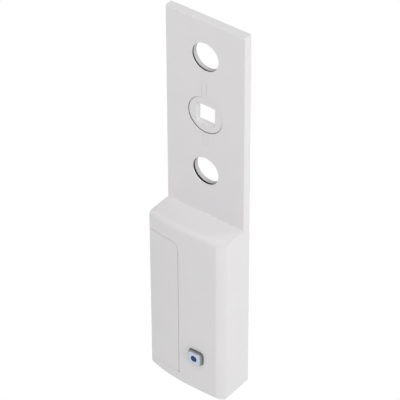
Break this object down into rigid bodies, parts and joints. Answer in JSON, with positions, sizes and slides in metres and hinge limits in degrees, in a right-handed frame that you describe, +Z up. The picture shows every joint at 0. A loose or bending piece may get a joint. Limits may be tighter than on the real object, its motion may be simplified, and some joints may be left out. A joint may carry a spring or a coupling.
{
  "type": "window handle sensor",
  "caption": "Slim battery-powered sensor that fits behind a window handle, with a turning square-socket disc, handle-screw holes, a battery cover and a push button.",
  "frame": {"origin": "spindle axis on the mounting face at the back, half-way between the two handle screws", "axes": "+Z up along the unit, +X to the right seen from the room, -Y out of the front, +Y into the window sash"},
  "size_m": [0.03, 0.0153, 0.137],
  "materials": {
    "shell": "fine satin moulded white ABS",
    "back_shell": "fine satin moulded white ABS",
    "disc": "smooth moulded white acetal",
    "tray": "moulded off-white ABS",
    "key_smoke": "smoky translucent moulding, polished",
    "key_cap": "pale printed cap, semi-gloss",
    "key_lens": "dark blue window, polished",
    "cell_steel": "nickel plated, drawn",
    "cell_print": "printed shrink sleeve, gloss",
    "screw_steel": "zinc plated",
    "board": "green solder resist",
    "brown_board": "dark brown solder resist",
    "gold": "gold plated",
    "spring_metal": "nickel plated spring metal",
    "tin": "tinned sheet",
    "black_plastic": "moulded black resin",
    "capacitor_can": "drawn aluminium",
    "ceramic_chip": "fired ceramic",
    "led": "clear resin over a white base",
    "switch_plunger": "moulded white"
  },
  "bodies": {
    "housing": {"front_cover": "shell", "rear_plate": "back_shell", "battery_tray": "tray", "cell_can": "cell_steel", "housing_screws": "screw_steel", "sensor_board": "brown_board", "contact_tracks": "gold", "main_board": "board", "link_pins": "gold", "link_strip": "black_plastic", "radio_board": "board", "radio_shield": "tin", "antenna_coil": "spring_metal", "microcontroller": "black_plastic", "memory_chip": "black_plastic", "crystal_can": "tin", "boost_inductor": "black_plastic", "buffer_capacitor": "capacitor_can", "chip_parts": "ceramic_chip", "status_led": "led", "switch_base": "black_plastic", "switch_cover": "tin", "switch_legs": "tin", "positive_contact": "spring_metal", "negative_contact": "spring_metal", "negative_spring": "spring_metal", "cell_sleeve": "cell_print", "cell_tip": "cell_steel"},
    "rotor": {"rotor_disc": "disc", "contact_wiper": "spring_metal"},
    "button": {"button_key": "key_smoke", "button_cap": "key_cap", "button_lens": "key_lens", "switch_plunger": "switch_plunger"},
    "cover": {"battery_cover": "shell"}
  },
  "joints": [
    {"name": "rotor_turn", "type": "hinge", "parent": "housing", "child": "rotor", "pos_m": [0, 0, 0], "axis": [0, 1, 0], "continuous": true},
    {"name": "button_press", "type": "slide", "parent": "housing", "child": "button", "axis": [0, 1, 0], "range_m": [0, 0.0004], "stiffness_N_per_m": 4000},
    {"name": "cover_release", "type": "slide", "parent": "housing", "child": "cover", "axis": [0, -1, 0], "range_m": [0, 0.02]}
  ]
}
